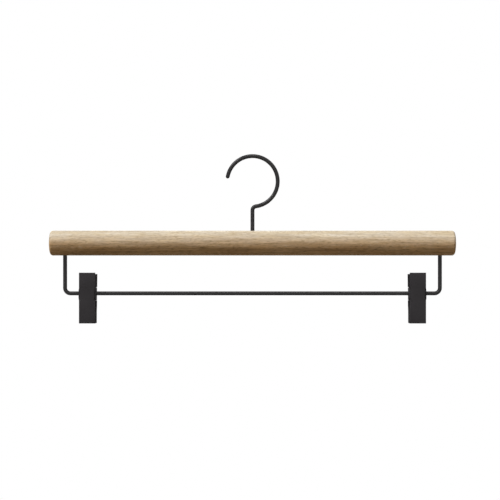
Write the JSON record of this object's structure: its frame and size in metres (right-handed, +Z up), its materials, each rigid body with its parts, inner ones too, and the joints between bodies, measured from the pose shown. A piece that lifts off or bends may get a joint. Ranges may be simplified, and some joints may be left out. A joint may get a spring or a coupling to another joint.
{
  "type": "clip hanger",
  "caption": "Round wooden bar on a swivelling wire hook, with a wire trouser bar below that carries sliding sprung clips for trousers and skirts.",
  "frame": {"origin": "inside top of the hook, the point that hangs on a rail, in the middle of the hanger", "axes": "+Z up along the hook's shank, +X along the wooden bar away from the hook's mouth, -Y to the clips' front plates"},
  "size_m": [0.409, 0.025, 0.1703],
  "materials": {
    "oak": "pale oak, fine straight grain, clear matt lacquer",
    "black_wire": "satin black lacquered round wire",
    "black_sheet": "matt black powder coat on pressed sheet and tube",
    "zinc_steel": "bright zinc plate",
    "spring_steel": "drawn spring wire",
    "pad_rubber": "matt black moulded rubber with cross ribs"
  },
  "bodies": {
    "hook": {"hook": "black_wire", "hook_washer": "zinc_steel", "hook_nut": "zinc_steel"},
    "bar": {"wood_bar": "oak", "bar_plug": "oak", "trouser_bar": "black_wire"},
    "left_slider": {"left_pivot_sleeve": "black_sheet"},
    "left_clip": {"left_spring": "spring_steel"},
    "left_front": {"left_front_jaw": "black_sheet", "left_front_pad": "pad_rubber"},
    "left_rear": {"left_rear_jaw": "black_sheet", "left_rear_pad": "pad_rubber"},
    "right_slider": {"right_pivot_sleeve": "black_sheet"},
    "right_clip": {"right_spring": "spring_steel"},
    "right_front": {"right_front_jaw": "black_sheet", "right_front_pad": "pad_rubber"},
    "right_rear": {"right_rear_jaw": "black_sheet", "right_rear_pad": "pad_rubber"}
  },
  "joints": [
    {"name": "hook_swivel", "type": "hinge", "parent": "hook", "child": "bar", "pos_m": [0, 0, -0.0856], "axis": [0, 0, 1], "continuous": true},
    {"name": "left_slide", "type": "slide", "parent": "bar", "child": "left_slider", "axis": [1, 0, 0], "range_m": [-0.008, 0.155]},
    {"name": "left_swing", "type": "hinge", "parent": "left_slider", "child": "left_clip", "pos_m": [-0.1659, 0, -0.1362], "axis": [1, 0, 0], "continuous": true},
    {"name": "left_open", "type": "hinge", "parent": "left_clip", "child": "left_front", "pos_m": [-0.1659, 0, -0.1362], "axis": [-1, 0, 0], "range_deg": [0, 18], "stiffness_Nm_per_rad": 0.24, "springref_deg": -29.79, "deforming": ["left_spring"]},
    {"name": "left_open_rear", "type": "hinge", "parent": "left_clip", "child": "left_rear", "pos_m": [-0.1659, 0, -0.1362], "axis": [1, 0, 0], "range_deg": [0, 18], "stiffness_Nm_per_rad": 0.24, "springref_deg": -29.79},
    {"name": "right_slide", "type": "slide", "parent": "bar", "child": "right_slider", "axis": [-1, 0, 0], "range_m": [-0.008, 0.155]},
    {"name": "right_swing", "type": "hinge", "parent": "right_slider", "child": "right_clip", "pos_m": [0.1659, 0, -0.1362], "axis": [1, 0, 0], "continuous": true},
    {"name": "right_open", "type": "hinge", "parent": "right_clip", "child": "right_front", "pos_m": [0.1659, 0, -0.1362], "axis": [-1, 0, 0], "range_deg": [0, 18], "stiffness_Nm_per_rad": 0.24, "springref_deg": -29.79, "deforming": ["right_spring"]},
    {"name": "right_open_rear", "type": "hinge", "parent": "right_clip", "child": "right_rear", "pos_m": [0.1659, 0, -0.1362], "axis": [1, 0, 0], "range_deg": [0, 18], "stiffness_Nm_per_rad": 0.24, "springref_deg": -29.79}
  ],
  "couplings": [
    {"joint": "left_open_rear", "follows": "left_open", "ratio": 1},
    {"joint": "right_open_rear", "follows": "right_open", "ratio": 1}
  ]
}
